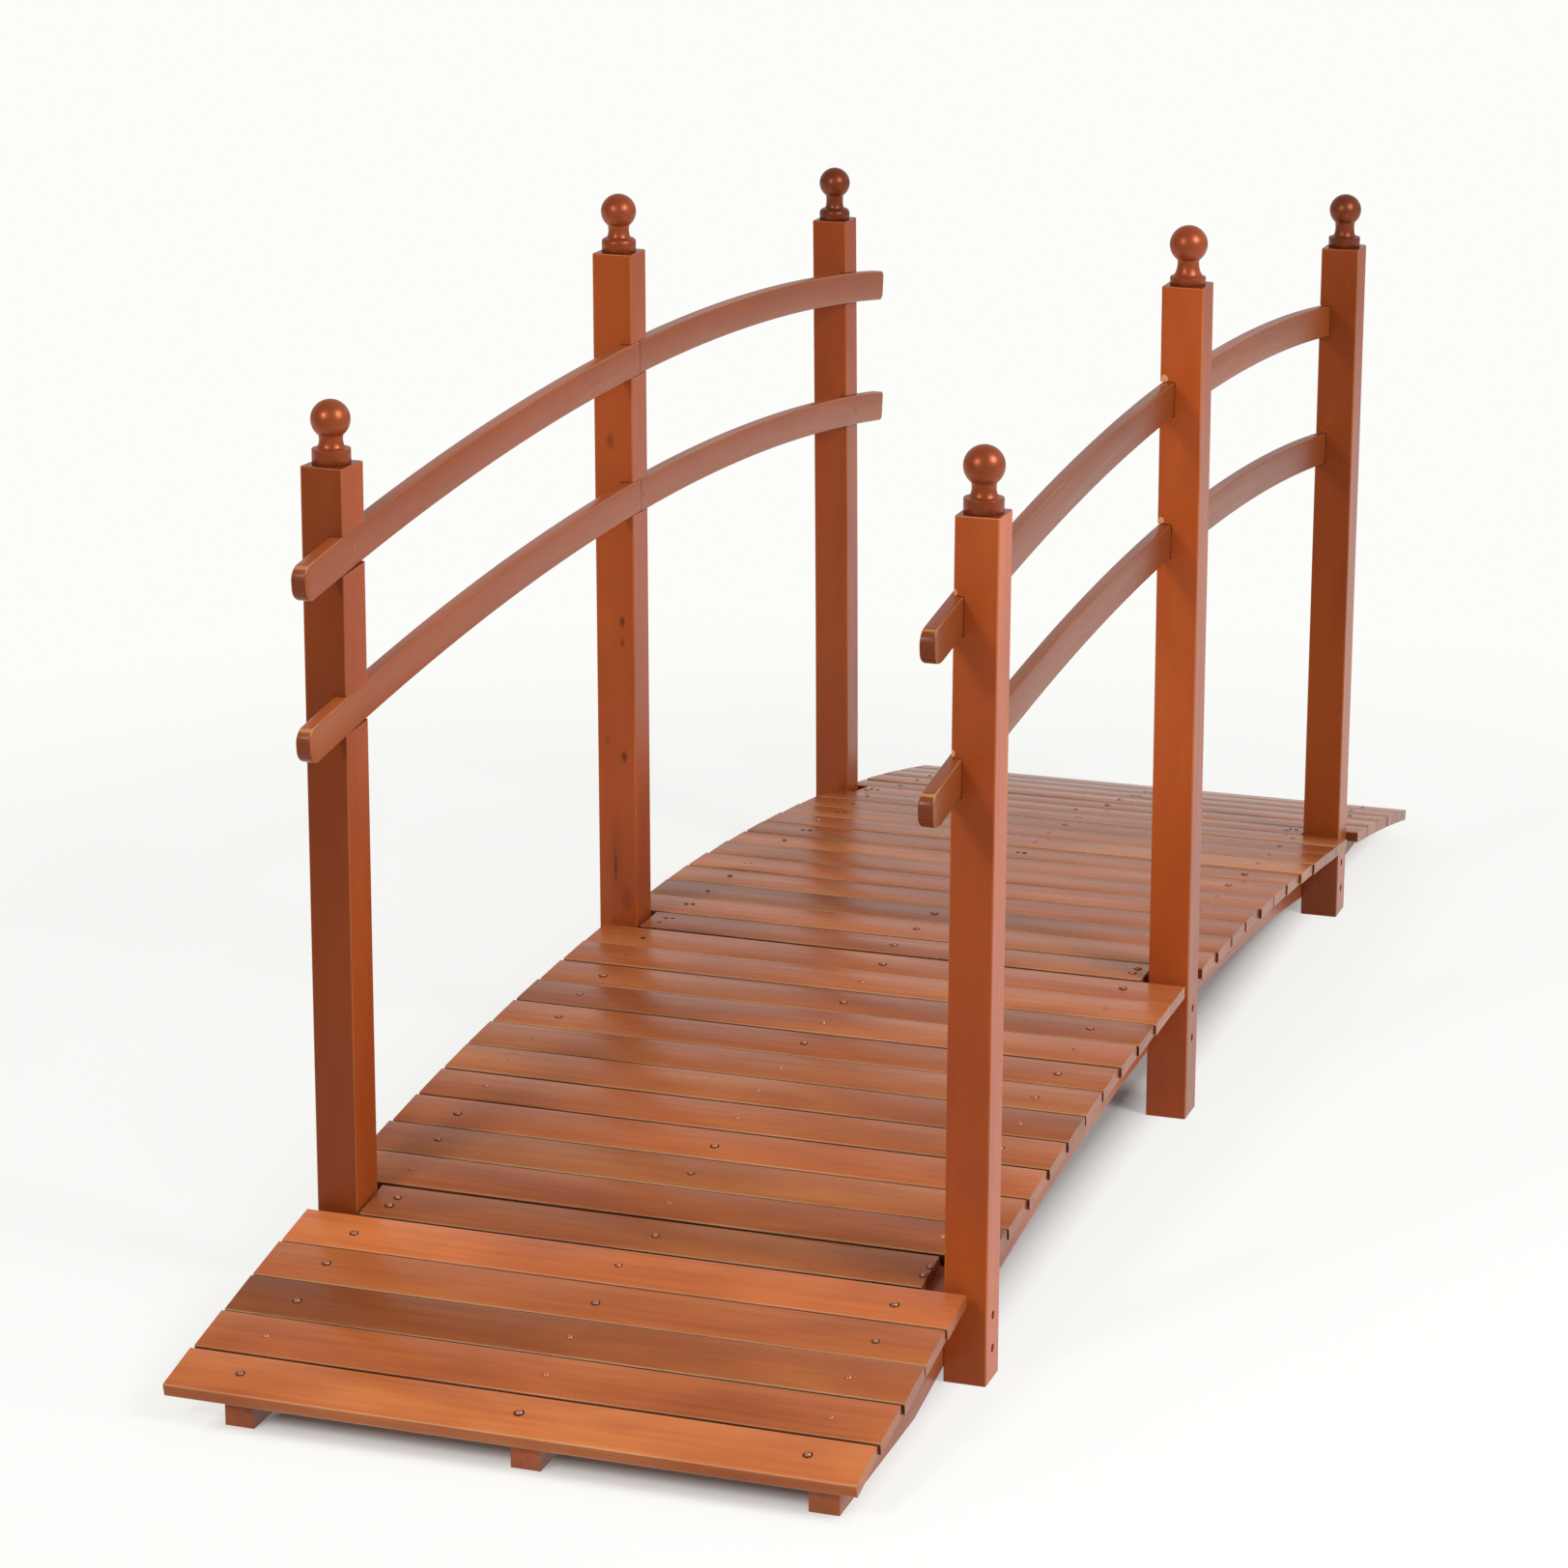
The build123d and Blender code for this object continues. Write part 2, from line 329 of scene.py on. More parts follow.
make_room()
hang_lamp("lamp_right", (3.4, -1.4, 3.2), (0, 0, 0.4), (1.5, 1.5), 120)
hang_lamp("lamp_left", (-1.6, -4.6, 3.2), (0, 0, 0.4), (0.9, 0.9), 80)

# %% [markdown]
# ## The wood
# Every stick is the same timber under a red-brown stain and a semi-gloss varnish. Real stained wood
# shows slow blotches where the stain soaked in, long streaks along the grain, fine fibres, and a tone
# that differs from stick to stick. All of it can be drawn with stretched noise, read from the
# object's own coordinates, so no picture is needed. Each stick carries a number that shifts the pattern
# and one that makes it darker or lighter, which holds both its own tone and painted shade. Its faces say
# where the eased edges get a pale painted highlight and where the ends are cut.

# %% Wood material
PATTERN_SHIFT = (17.3, 9.1, 23.7)
RAW_WOOD = (0.72, 0.30, 0.13, 1)


def make_wood(name, grain, dark, middle, light, roughness, ior,
              contrast=1.0, streaks=1.0, knots=(), chips=(), metallic=0.0):
    """A stained wood. grain is the axis that the fibres follow, and the colours are plain linear.
    Along Y the fibres follow the arch, so there the place is read as a length along the arc and a height."""
    wood = bpy.data.materials.new(name)
    tree = blank_tree(wood)
    where = put(tree, "ShaderNodeTexCoord").outputs["Object"]

    def carried(attribute):
        return put(tree, "ShaderNodeAttribute", attribute_name=attribute).outputs["Fac"]

    if grain == "Y":
        x, turn, reach = from_arc(tree, where)
        where = vector(tree, x, calc(tree, "MULTIPLY", turn, DECK_RADIUS), reach)
    own = carried("piece_shift")
    offset = vector(tree, *[calc(tree, "MULTIPLY", own, factor) for factor in PATTERN_SHIFT])
    moved = put(tree, "ShaderNodeVectorMath", {0: where, 1: offset}, operation="ADD").outputs[0]

    def noise(stretch, scale, detail, distortion=0.0):
        squeeze = [1.0, 1.0, 1.0]
        squeeze["XYZ".index(grain)] = stretch
        laid = put(tree, "ShaderNodeMapping", {"Vector": moved, "Scale": squeeze}).outputs[0]
        return put(tree, "ShaderNodeTexNoise", {
            "Vector": laid, "Scale": scale, "Detail": detail, "Roughness": 0.5,
            "Distortion": distortion}).outputs[0]

    def blend(share, first, second):
        return put(tree, "ShaderNodeMix", {0: share, 6: first, 7: second}, data_type="RGBA").outputs[2]

    def from_spot(x, y, z, squash=1.0):
        """How far away a spot is, with the length along the post counted for less."""
        arrow = put(tree, "ShaderNodeVectorMath", {0: where, 1: (x, y, z)}, operation="SUBTRACT").outputs[0]
        squashed = put(tree, "ShaderNodeMapping", {"Vector": arrow, "Scale": (1, 1, squash)}).outputs[0]
        return put(tree, "ShaderNodeVectorMath", {0: squashed}, operation="LENGTH").outputs["Value"]

    blotch = noise(0.35, 9, 3, 0.5)
    cloud = noise(0.5, 2.2, 1)
    streak = noise(0.04, 120, 3, 0.3)
    fibre = noise(0.02, 900, 2)
    tone = 0.5
    for pattern, share in ((blotch, 0.9), (cloud, 0.7), (streak, 0.4 * streaks), (fibre, 0.14 * streaks)):
        weight = share * contrast
        tone = calc(tree, "ADD", tone, calc(tree, "MULTIPLY_ADD", pattern, weight, -0.5 * weight))
    ramp = colour_ramp(tree, tone, (0.15, dark), (0.5, middle), (0.85, light))
    shade = calc(tree, "ADD", 1.0, carried("tone_and_painted_shade"))
    stain = put(tree, "ShaderNodeVectorMath", {0: ramp, "Scale": shade}, operation="SCALE").outputs[0]
    for x, y, z, size, depth, squash in knots:
        share = slide(tree, from_spot(x, y, z, squash), size * 0.35, size, depth, 0.0)
        stain = blend(share, stain, (*[c * 0.25 for c in dark], 1))
    for x, y, z, size in chips:
        stain = blend(slide(tree, from_spot(x, y, z), size, size * 0.8), stain, RAW_WOOD)
    # a pale painted highlight along the eased edges, in patches where the blotches are light
    highlit_edge = calc(tree, "MULTIPLY", carried("edge_highlight"), slide(tree, blotch, 0.35, 0.6, 0.08, 0.36))
    stain = blend(highlit_edge, stain, (light[0], light[1] * 1.9, light[2] * 3.5, 1))
    stain = blend(calc(tree, "MULTIPLY", carried("end_grain"), 0.8), stain, (*[c * 0.55 for c in dark], 1))
    gloss = slide(tree, streak, 0.3, 0.7, roughness + 0.04, roughness - 0.03)
    relief = calc(tree, "MULTIPLY_ADD", fibre, 0.5, streak)
    bump = put(tree, "ShaderNodeBump", {"Strength": 0.10 * streaks, "Distance": 0.0003, "Height": relief})
    skin = put(tree, "ShaderNodeBsdfPrincipled", {
        "Base Color": stain, "Roughness": gloss, "IOR": ior, "Metallic": metallic, "Normal": bump.outputs[0]})
    put(tree, "ShaderNodeOutputMaterial", {"Surface": skin.outputs[0]})
    return wood


plank_wood = make_wood(
    "plank_wood", "X", (0.22, 0.050, 0.015), (0.40, 0.108, 0.031), (0.57, 0.195, 0.056), 0.26, 1.30, 0.9, 0.9)
rail_wood = make_wood(
    "rail_wood", "Y", (0.27, 0.056, 0.014), (0.37, 0.086, 0.022), (0.46, 0.120, 0.032), 0.29, 1.31, 0.6, 0.12)
# a knot is (x, y, z, size, depth, squash) on the middle left post, and a chip is (x, y, z, size)
ML_KNOTS = [(-0.356, -0.023, 0.783, 0.007, 0.45, 0.5), (-0.343, -0.023, 0.559, 0.005, 0.8, 0.5),
            (-0.343, -0.023, 0.533, 0.004, 0.7, 0.5), (-0.364, -0.023, 0.409, 0.004, 0.4, 0.5),
            (-0.342, -0.023, 0.388, 0.0055, 0.85, 0.55), (-0.355, -0.023, 0.246, 0.0034, 0.95, 0.11),
            (-0.353, -0.023, 0.262, 0.011, 0.18, 0.15), (-0.341, -0.023, 0.205, 0.010, 0.35, 0.5)]
HOUSING_CHIPS = [(0.330, -0.863, 0.844, 0.0055), (0.330, -0.863, 0.679, 0.005),
                 (0.329, -0.025, 0.903, 0.005), (0.329, -0.025, 0.736, 0.004)]
post_wood = make_wood(
    "post_wood", "Z", (0.25, 0.042, 0.008), (0.39, 0.073, 0.013), (0.52, 0.112, 0.020), 0.26, 1.29, 0.7, 0.3,
    knots=ML_KNOTS, chips=HOUSING_CHIPS)
finial_wood = make_wood(
    "finial_wood", "Z", (0.20, 0.038, 0.010), (0.31, 0.062, 0.017), (0.42, 0.098, 0.028), 0.37, 1.45,
    0.6, 0.4, metallic=0.45)
beam_wood = make_wood(
    "beam_wood", "Y", (0.20, 0.050, 0.019), (0.34, 0.092, 0.034), (0.45, 0.140, 0.052), 0.35, 1.30)
print("woods:", [m.name for m in (plank_wood, rail_wood, post_wood, finial_wood, beam_wood)])


# %% Worn edges and cut ends
def mark_faces(piece, grain, arched, cut_depth=1.0):
    """Stores on each face whether it is an eased edge, which gets a painted highlight, or a cut end. grain is
    the axis number of the stick.
    """
    mesh = piece.data
    highlight = mesh.attributes.new("edge_highlight", "FLOAT", "FACE")
    ends = mesh.attributes.new("end_grain", "FLOAT", "FACE")
    for face in mesh.polygons:
        turn = math.atan2(face.center.y, face.center.z - ARCH_CENTRE) if arched else 0.0
        x, y, z = face.normal
        facing = (x, y * math.cos(turn) - z * math.sin(turn), y * math.sin(turn) + z * math.cos(turn))
        along = abs(facing[grain])
        across = max(abs(v) for axis, v in enumerate(facing) if axis != grain)
        if along > 0.5:
            ends.data[face.index].value = min(1.0, (along - 0.5) * 3) * cut_depth
        elif across < 0.98:
            highlight.data[face.index].value = 1.0


def set_tone_and_shade(piece, domain, tone_at):
    """Stores how much darker or lighter each point or face is than the plain stain: the piece's own tone, and
    painted shade where it is given.
    """
    tone = piece.data.attributes.new("tone_and_painted_shade", "FLOAT", domain)
    parts = piece.data.vertices if domain == "POINT" else piece.data.polygons
    for item, part in zip(tone.data, parts):
        item.value = tone_at(part)


def set_shift(piece, value):
    """Stores one number on every point, which slides the wood's pattern."""
    shift = piece.data.attributes.new("piece_shift", "FLOAT", "POINT")
    for item in shift.data:
        item.value = value


# %% Metal of the nails
def make_metal(name, colour, roughness, metallic=1.0):
    metal = bpy.data.materials.new(name)
    metal.use_nodes = True
    tree = metal.node_tree
    skin = tree.nodes["Principled BSDF"]
    skin.inputs["Metallic"].default_value = metallic
    skin.inputs["Roughness"].default_value = roughness
    where = put(tree, "ShaderNodeTexCoord").outputs["Object"]
    mottle = put(tree, "ShaderNodeTexNoise", {"Vector": where, "Scale": 700, "Detail": 2}).outputs[0]
    ramp = colour_ramp(tree, mottle, (0.35, [c * 0.55 for c in colour]), (0.65, colour))
    tree.links.new(ramp, skin.inputs["Base Color"])
    return metal


copper = make_metal("nail_copper", (0.68, 0.27, 0.15), 0.34, 0.6)
dark_steel = make_metal("screw_steel", (0.16, 0.10, 0.07), 0.45)

# %% [markdown]
# ## Deck planks
# Thirty-five planks lie side by side on the arc, each turned a little more than the one before. That is
# a rule, so Geometry Nodes lay them: one plank is swept along a short line, and copies stand on points
# of the arc. Each copy gets its own length, tilt, height and grain from fixed random seeds.

# %% Plank tree
def make_plank_tree():
    tree, into = new_shape_tree("lay_planks", [
        ("First plank", "Int"), ("Planks", "Int"), ("Length", "Float"), ("Width", "Float"),
        ("Thickness", "Float"), ("Easing", "Float"), ("Creep", "Float"), ("Shift", "Float"),
        ("Right limit", "Float"), ("Length play", "Float"), ("Seed", "Int"), ("Wood", "Material")])
    half = calc(tree, "MULTIPLY", into["Length"], 0.5)
    line = put(tree, "GeometryNodeCurvePrimitiveLine", {
        "Start": vector(tree, calc(tree, "MULTIPLY", half, -1.0)), "End": vector(tree, half)})
    fine = put(tree, "GeometryNodeResampleCurve", {"Curve": line.outputs[0], "Count": 27})
    plank = sweep(tree, fine.outputs[0], into["Width"], into["Thickness"], into["Easing"], 3)
    number = calc(tree, "ADD", put(tree, "GeometryNodeInputIndex").outputs[0], into["First plank"])
    steps = calc(tree, "SUBTRACT", number, MIDDLE_PLANK)
    angle = calc(tree, "MULTIPLY", steps, PLANK_STEP)

    def chance(low, high, salt):
        """A number that is each plank's own, between low and high."""
        seed = calc(tree, "ADD", into["Seed"], salt)
        return put(tree, "FunctionNodeRandomValue", {2: low, 3: high, "ID": number, "Seed": seed},
                   data_type="FLOAT").outputs[1]

    radius = calc(tree, "SUBTRACT", DECK_RADIUS, calc(tree, "MULTIPLY", into["Thickness"], 0.5))
    radius = calc(tree, "ADD", radius, chance(-0.0011, 0.0, 1))
    middle = calc(tree, "ADD", calc(tree, "MULTIPLY_ADD", steps, into["Creep"], into["Shift"]),
                  chance(-0.0009, 0.0009, 2))
    right_end = calc(tree, "ADD", middle, half)
    over = calc(tree, "MAXIMUM", calc(tree, "SUBTRACT", right_end, into["Right limit"]), 0.0)
    spot = on_arc(tree, calc(tree, "MULTIPLY_ADD", over, -0.5, middle), angle, radius)
    points = put(tree, "GeometryNodePoints", {"Count": into["Planks"], "Position": spot})
    tilt = calc(tree, "ADD", calc(tree, "MULTIPLY", angle, -1.0), chance(-0.008, 0.008, 3))
    spin = put(tree, "FunctionNodeEulerToRotation", {
        0: vector(tree, tilt, chance(-0.0008, 0.0008, 4), chance(-0.0014, 0.0014, 5))})
    full = calc(tree, "SUBTRACT", 1.0, calc(tree, "DIVIDE", over, into["Length"]))
    shorter = calc(tree, "MULTIPLY", into["Length play"], chance(0.0, 1.0, 6))
    laid = put(tree, "GeometryNodeInstanceOnPoints", {
        "Points": points.outputs[0], "Instance": plank, "Rotation": spin.outputs[0],
        "Scale": vector(tree, calc(tree, "SUBTRACT", full, shorter), chance(0.985, 1.0, 7), 1.0)})
    carried = carry(tree, laid.outputs[0], "piece_shift", chance(0.0, 1.0, 0), "INSTANCE")
    close_shape_tree(tree, carried, into["Wood"])
    return tree


plank_tree = make_plank_tree()

# %% Tones and painted shade of the planks
# for each plank its tone at the left and at the right end; the others get one at random
PLANK_LENGTH = 742 * MM
# the planks' side faces get painted shade, deep in the gaps and less on the outer sides of the first and last
# plank
GAP_PAINTED_SHADE = 0.7
OUTSIDE_PAINTED_SHADE = 0.38
# plank 3's dark left end is partly its own tone and partly a painted reflection of the near left post
PLANK_TONES = {1: (0.22, 0.24), 2: (0.10, 0.14), 3: (-0.44, -0.06), 4: (0.0, 0.0), 5: (0.44, 0.36),
               6: (-0.24, -0.28), 8: (-0.26, -0.10), 14: (-0.12, 0.10), 20: (-0.40, 0.04), 22: (0.20, 0.16)}
random.seed(8)
for number in range(7, PLANK_COUNT + 1):
    base = random.uniform(-0.14, 0.12)
    ends = (base + random.uniform(-0.08, 0.08), base + random.uniform(-0.08, 0.08))
    PLANK_TONES.setdefault(number, ends)


def plank_tone(face):
    """The tone of a plank's face: it slides from end to end, and the side faces in the gaps between planks
    get painted shade.
    """
    turn = math.atan2(face.center.y, face.center.z - ARCH_CENTRE)
    number = round(turn / PLANK_STEP) + MIDDLE_PLANK
    left, right = PLANK_TONES[number]
    tone = left + (right - left) * min(1.0, max(0.0, face.center.x / PLANK_LENGTH + 0.5))
    towards = face.normal.y * math.cos(turn) - face.normal.z * math.sin(turn)
    outside = number == 1 and towards < 0 or number == PLANK_COUNT and towards > 0
    # painted shade on the side faces
    if abs(towards) > 0.75:
        return tone - (OUTSIDE_PAINTED_SHADE if outside else GAP_PAINTED_SHADE)
    return tone


# %% Lay the planks
PLANK_CREEP = 1.57 * MM
PLANK_SHIFT = 6.9 * MM
SHORT_CREEP = 0.5 * MM
# piece, first plank, number of planks, length, width, shift to the right, and the solid node it stands for
plank_groups = [
    ("deck_near_ramp", 1, 5, PLANK_LENGTH, 68, PLANK_SHIFT, "deck_boards_near_ramp"),
    ("deck_near_bay", 7, 11, PLANK_LENGTH, 68, PLANK_SHIFT, "deck_boards_near_bay"),
    ("deck_far_bay", 19, 11, PLANK_LENGTH, 68, PLANK_SHIFT, "deck_boards_far_bay"),
    ("deck_far_ramp", 31, 5, PLANK_LENGTH, 68, PLANK_SHIFT, "deck_boards_far_ramp"),
    ("plank_between_near_posts", 6, 1, 634 * MM, 66, -3 * MM, "short_board_near"),
    ("plank_between_middle_posts", 18, 1, 642 * MM, 62, 0.0, "short_board_middle"),
    ("plank_between_far_posts", 30, 1, 642 * MM, 66, 0.0, "short_board_far")]
for name, first, count, length, width, shift, node in plank_groups:
    planks = bake_shape(name, plank_tree, {
        "First plank": first, "Planks": count, "Length": length, "Width": width * MM,
        "Thickness": 14.5 * MM, "Easing": 1.6 * MM, "Creep": SHORT_CREEP if count == 1 else PLANK_CREEP,
        "Shift": shift, "Right limit": solid_box[1][0] - 0.4 * MM,
        "Length play": 0.002, "Seed": 11, "Wood": plank_wood})
    mark_faces(planks, 0, True, 0.4)
    set_tone_and_shade(planks, "FACE", plank_tone)
    keep_piece(planks, "deck_wood", node)

# %% [markdown]
# ## Nails and screws
# Every full plank is nailed to each stringer, and the short ones have two nails at each end. The small
# domed heads stand proud of the varnish, with a dark ring around them that is partly bruised wood and
# partly a painted shadow of the dent they sit in. Each fastener is the same little shape on a point that
# knows which way it faces, so Python lists the points, and one tree puts a head on each of them.

# %% Fastener tree
def make_fastener_tree():
    tree, into = new_shape_tree("drive_fasteners", [
        ("Points", "Geometry"), ("Head radius", "Float"), ("Head height", "Float"), ("Ring", "Float"),
        ("Seed", "Int"), ("Metal", "Material"), ("Bruise", "Material")])
    ball = put(tree, "GeometryNodeMeshUVSphere", {"Segments": 10, "Rings": 6, "Radius": 1.0})
    head = put(tree, "GeometryNodeTransform", {
        "Geometry": ball.outputs[0],
        "Scale": vector(tree, into["Head radius"], into["Head radius"], into["Head height"])})
    plated = put(tree, "GeometryNodeSetMaterial", {"Geometry": head.outputs[0], "Material": into["Metal"]})
    smooth = put(tree, "GeometryNodeSetShadeSmooth", {0: plated.outputs[0]})
    # a flat ring round the head in its own material; the dark one is partly bruised wood and partly painted
    # shade
    ring_radius = calc(tree, "MULTIPLY", into["Head radius"], into["Ring"])
    ring = put(tree, "GeometryNodeMeshCircle", {"Vertices": 14, "Radius": ring_radius}, fill_type="NGON")
    lifted = put(tree, "GeometryNodeTransform", {
        "Geometry": ring.outputs[0], "Translation": (0, 0, 0.12 * MM)})
    coloured_ring = put(tree, "GeometryNodeSetMaterial", {
        "Geometry": lifted.outputs[0], "Material": into["Bruise"]})
    nail = put(tree, "GeometryNodeJoinGeometry")
    tree.links.new(smooth.outputs[0], nail.inputs[0])
    tree.links.new(coloured_ring.outputs[0], nail.inputs[0])
    facing = put(tree, "GeometryNodeInputNamedAttribute", {"Name": "facing"}, data_type="FLOAT_VECTOR")
    spin = put(tree, "FunctionNodeAlignRotationToVector", {"Vector": facing.outputs[0]}, axis="Z")
    grow = put(tree, "FunctionNodeRandomValue", {2: 0.82, 3: 1.08, "Seed": into["Seed"]}, data_type="FLOAT")
    driven = put(tree, "GeometryNodeInstanceOnPoints", {
        "Points": into["Points"], "Instance": nail.outputs[0], "Rotation": spin.outputs[0],
        "Scale": grow.outputs[1]})
    close_shape_tree(tree, driven.outputs[0])
    return tree


def drive(name, spots, slot, **values):
    """Puts a fastener on each spot, which is a place and the way it faces."""
    points = bpy.data.meshes.new(name + "_points")
    points.from_pydata([place for place, facing in spots], [], [])
    ways = points.attributes.new("facing", "FLOAT_VECTOR", "POINT")
    for item, (place, facing) in zip(ways.data, spots):
        item.vector = facing
    values = {label.replace("_", " "): value for label, value in values.items()}
    keep_piece(bake_shape(name, fastener_tree, values, points), slot)


fastener_tree = make_fastener_tree()
bruise_and_shade = make_wood(
    "bruised_wood_and_painted_shade", "X", (0.03, 0.012, 0.008), (0.06, 0.02, 0.012), (0.10, 0.03, 0.016), 0.5, 1.3)

# %% Nails of the deck
NAIL_COLUMN = 304 * MM
NAIL_CREEP = 1.4 * MM
NAIL_DEPTH = 0.6 * MM
SHORT_PLANKS = (6, 18, 30)


def deck_spot(number, x, along=0.0):
    """A place just under the top of a plank, and the way up from it."""
    turn = (number - MIDDLE_PLANK) * PLANK_STEP + along / DECK_RADIUS
    up = Vector((0, math.sin(turn), math.cos(turn)))
    return Vector((x, 0, ARCH_CENTRE)) + up * (DECK_RADIUS - NAIL_DEPTH), up


def about(play):
    """A random length, as much as play millimetres to either side."""
    return random.uniform(-play, play) * MM


random.seed(5)
bright, sunken = [], []
for number in range(1, PLANK_COUNT + 1):
    line = NAIL_CREEP * (number - MIDDLE_PLANK) + PLANK_SHIFT
    for column in (-1, 0, 1):
        if number in SHORT_PLANKS:
            x = column * NAIL_COLUMN + about(3)
            places = [(x, -9 * MM), (x + 2 * MM, 9 * MM)] if column else [(x, 0.0)]
        else:
            places = [(column * NAIL_COLUMN + line + about(3), about(4))]
        for x, along in places:
            hidden = column < 0 and 15 < number < 26 or number > 24 and random.random() < 0.6
            (sunken if hidden else bright).append(deck_spot(number, x, along))
            if hidden and random.random() < 0.4:
                beside = x + random.uniform(6, 10) * MM
                sunken.append(deck_spot(number, beside, along + about(3)))
sunken = [(place + up * 0.3 * MM, up) for place, up in sunken]
drive("deck_nails", bright, "deck_wood", Head_radius=3.9 * MM, Head_height=2.6 * MM, Ring=1.36, Seed=5,
      Metal=copper, Bruise=bruise_and_shade)
drive("sunken_nails", sunken, "deck_wood", Head_radius=2.6 * MM, Head_height=0.5 * MM, Ring=1.25, Seed=6,
      Metal=dark_steel, Bruise=bruise_and_shade)
print(len(bright), "nails with bright heads and", len(sunken), "sunken ones")

# %% [markdown]
# ## Rails
# Each rail is a long flat stick bent to the arch, with a rounded tip where it passes the end post. A
# section is swept along an arc, and then the points near the tip are drawn in towards the middle line
# by the rule of an ellipse, which rounds the tip as a router would.

# %% Rail tree
RAIL_SECTIONS = 110


def make_rail_tree():
    lengths = ("Radius", "Middle end", "Tip end", "Side place", "Thickness", "Height", "Easing", "Lift",
               "Tip lift", "Top reach", "Top drop", "Bottom reach", "Bottom rise", "Shift")
    tree, into = new_shape_tree("bend_rail", [*[(name, "Float") for name in lengths], ("Wood", "Material")])
    stations = put(tree, "GeometryNodeMeshLine", {"Count": RAIL_SECTIONS})
    share = calc(tree, "DIVIDE", put(tree, "GeometryNodeInputIndex").outputs[0], RAIL_SECTIONS - 1.0)
    left_over = calc(tree, "SUBTRACT", 1.0, share)
    eased_share = calc(tree, "SUBTRACT", 1.0, calc(tree, "MULTIPLY", left_over, left_over))
    first = calc(tree, "ARCSINE", calc(tree, "DIVIDE", into["Middle end"], into["Radius"]))
    last = calc(tree, "ARCSINE", calc(tree, "DIVIDE", into["Tip end"], into["Radius"]))
    angle = calc(tree, "ADD", first, calc(tree, "MULTIPLY", eased_share, calc(tree, "SUBTRACT", last, first)))

    def bend(turned):
        """The rail's own radius where it is turned this far, since real ones are a little off the arc."""
        part = calc(tree, "DIVIDE", turned, last)
        more = calc(tree, "MULTIPLY", calc(tree, "SUBTRACT", into["Tip lift"], into["Lift"]),
                    calc(tree, "MULTIPLY", part, part))
        return calc(tree, "ADD", calc(tree, "ADD", into["Radius"], into["Lift"]), more)

    spot = on_arc(tree, into["Side place"], angle, bend(angle))
    bent = put(tree, "GeometryNodeSetPosition", {"Geometry": stations.outputs[0], "Position": spot})
    arc = put(tree, "GeometryNodeMeshToCurve", {0: bent.outputs[0]})
    stick = sweep(tree, arc.outputs[0], into["Thickness"], into["Height"], into["Easing"], 4)

    x, turn, reach = from_arc(tree, put(tree, "GeometryNodeInputPosition").outputs[0])
    turn_left = calc(tree, "SUBTRACT", calc(tree, "ABSOLUTE", last), calc(tree, "ABSOLUTE", turn))
    to_tip = calc(tree, "MULTIPLY", into["Radius"], turn_left)
    half = calc(tree, "MULTIPLY", into["Height"], 0.5)
    middle_line = bend(turn)
    off = calc(tree, "SUBTRACT", reach, middle_line)

    def rounded_share(length, drop_in):
        """How much of the half height is left here, by the rule of a quarter ellipse."""
        inside = calc(tree, "DIVIDE", calc(tree, "SUBTRACT", length, to_tip), length)
        inside = calc(tree, "MINIMUM", calc(tree, "MAXIMUM", inside, 0.0), 1.0)
        curve = calc(tree, "SQRT", calc(tree, "SUBTRACT", 1.0, calc(tree, "MULTIPLY", inside, inside)))
        kept = calc(tree, "MULTIPLY", drop_in, curve)
        return calc(tree, "DIVIDE", calc(tree, "ADD", calc(tree, "SUBTRACT", half, drop_in), kept), half)

    over_middle = calc(tree, "GREATER_THAN", off, 0.0)
    top_share = rounded_share(into["Top reach"], into["Top drop"])
    bottom_share = rounded_share(into["Bottom reach"], into["Bottom rise"])
    more_on_top = calc(tree, "SUBTRACT", top_share, bottom_share)
    keep = calc(tree, "MULTIPLY_ADD", over_middle, more_on_top, bottom_share)
    goal = on_arc(tree, x, turn, calc(tree, "MULTIPLY_ADD", off, keep, middle_line))
    rounded = put(tree, "GeometryNodeSetPosition", {"Geometry": stick, "Position": goal})
    carried = carry(tree, rounded.outputs[0], "piece_shift", into["Shift"], "POINT")
    close_shape_tree(tree, carried, into["Wood"])
    return tree


# %% How each rail half differs
RAIL_THICKNESS = 15.5 * MM
RAIL_HEIGHT = 40 * MM
POST_INNER = 329 * MM
RAIL_OUTER = POST_INNER + 12.6 * MM
RAIL_PLACE = RAIL_OUTER - RAIL_THICKNESS / 2
RAIL_RISE = {"upper": 708 * MM, "lower": 538 * MM}
TIP_HIGHLIGHT_LENGTH = 22 * MM
# for each half: lift at the middle and at the tip, the tip's rounding at the top (length, depth) and at the
# bottom (length, depth), all in millimetres, and last its tone; the right halves are made much darker than
# the left, and that step is painted shade
RAIL_HALVES = {
    ("upper", "left", "near"): (0, 8, 15, 15, 20, 16, -0.12),
    ("lower", "left", "near"): (1, 8.5, 15, 15, 22, 16, -0.10),
    ("upper", "left", "far"): (0.5, 2, 8, 7, 8, 7, -0.06),
    ("lower", "left", "far"): (0, 2.5, 4, 4, 6, 5, -0.08),
    ("upper", "right", "near"): (-3, -3.5, 15, 16, 28, 17, -0.40),
    ("lower", "right", "near"): (-0.5, 2, 15, 16, 28, 17, -0.42),
    ("upper", "right", "far"): (-5.5, -4, 8, 7, 8, 7, -0.24),
    ("lower", "right", "far"): (-6.5, -4.5, 8, 7, 8, 7, -0.34)}


def rail_tip(level, side, half):
    low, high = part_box(f"rail_{level}_{side}_{half}")
    return low.y if half == "near" else high.y


def rail_radius(level, side, half, y):
    """The radius of a rail's middle line at this place along the bridge."""
    lift, tip_lift = RAIL_HALVES[level, side, half][:2]
    radius = DECK_RADIUS + RAIL_RISE[level]
    part = math.asin(y / radius) / math.asin(rail_tip(level, side, half) / radius)
    return radius + (lift + (tip_lift - lift) * part * part) * MM


